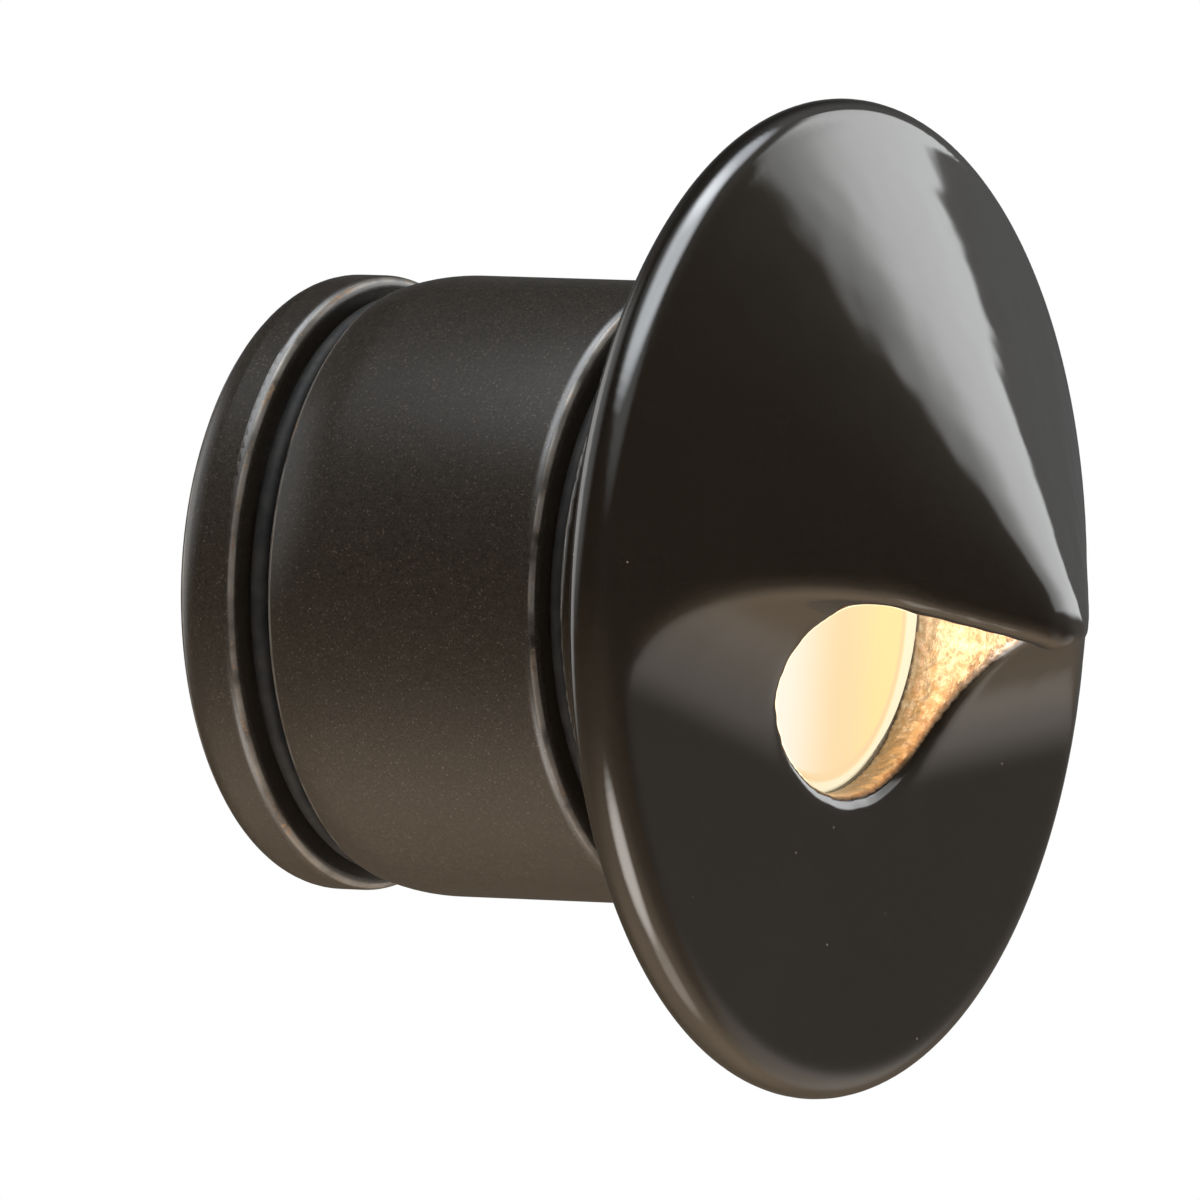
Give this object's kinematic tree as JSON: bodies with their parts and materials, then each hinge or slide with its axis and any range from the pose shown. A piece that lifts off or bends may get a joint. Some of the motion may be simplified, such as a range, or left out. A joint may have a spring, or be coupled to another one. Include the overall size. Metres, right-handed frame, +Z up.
{
  "type": "recessed wall spotlight",
  "caption": "Round recessed wall light with a conical eyelid hood over a frosted lens and a ringed barrel that slides into a hole in the wall.",
  "frame": {"origin": "on the lamp axis at the wall plane, the back of the round face plate", "axes": "+Y along the barrel into the wall, the hood and lens face -Y, +Z up"},
  "size_m": [0.0762, 0.0718, 0.0762],
  "materials": {
    "bronze_paint": "cast brass under satin gloss dark bronze metallic paint",
    "raw_brass": "machined brass",
    "frosted_glass": "frosted, lit warm",
    "clear_glass": "clear",
    "silicone": "translucent white silicone",
    "black_rubber": "moulded, semi gloss",
    "plated_steel": "zinc plated",
    "ceramic": "unglazed steatite",
    "lamp_wire": "drawn wire",
    "spun_aluminium": "spun and brightened",
    "block_plastic": "moulded natural nylon",
    "lead_sleeve": "glass fibre sleeve"
  },
  "bodies": {
    "housing": {"barrel": "bronze_paint", "rear_cap": "bronze_paint", "rear_seal_ring": "black_rubber", "cable_gland_body": "raw_brass", "gland_seal": "black_rubber", "gland_nut": "raw_brass", "gland_locknut": "raw_brass", "socket_bracket": "plated_steel", "lamp_socket": "ceramic", "socket_contacts": "raw_brass", "socket_screws": "plated_steel", "bracket_screws": "plated_steel", "reflector": "spun_aluminium", "terminal_block": "block_plastic", "terminal_screws": "plated_steel", "terminal_block_screw": "plated_steel", "lead_wires": "lead_sleeve"},
    "seal": {"front_seal_ring": "black_rubber"},
    "face": {"face_cowl": "bronze_paint", "lens": "frosted_glass", "lens_gasket": "silicone", "lens_retaining_ring": "raw_brass"},
    "lamp": {"lamp_capsule": "clear_glass", "lamp_pinch": "clear_glass", "lamp_pins": "lamp_wire", "lamp_filament": "lamp_wire"}
  },
  "joints": [
    {"name": "face_pull", "type": "slide", "parent": "housing", "child": "seal", "axis": [0, -1, 0], "range_m": [0, 0.02]},
    {"name": "face_turn", "type": "hinge", "parent": "seal", "child": "face", "pos_m": [0, 0, 0], "axis": [0, 1, 0], "continuous": true},
    {"name": "lamp_pull", "type": "slide", "parent": "housing", "child": "lamp", "axis": [0, -1, 0], "range_m": [0, 0.0062]}
  ]
}
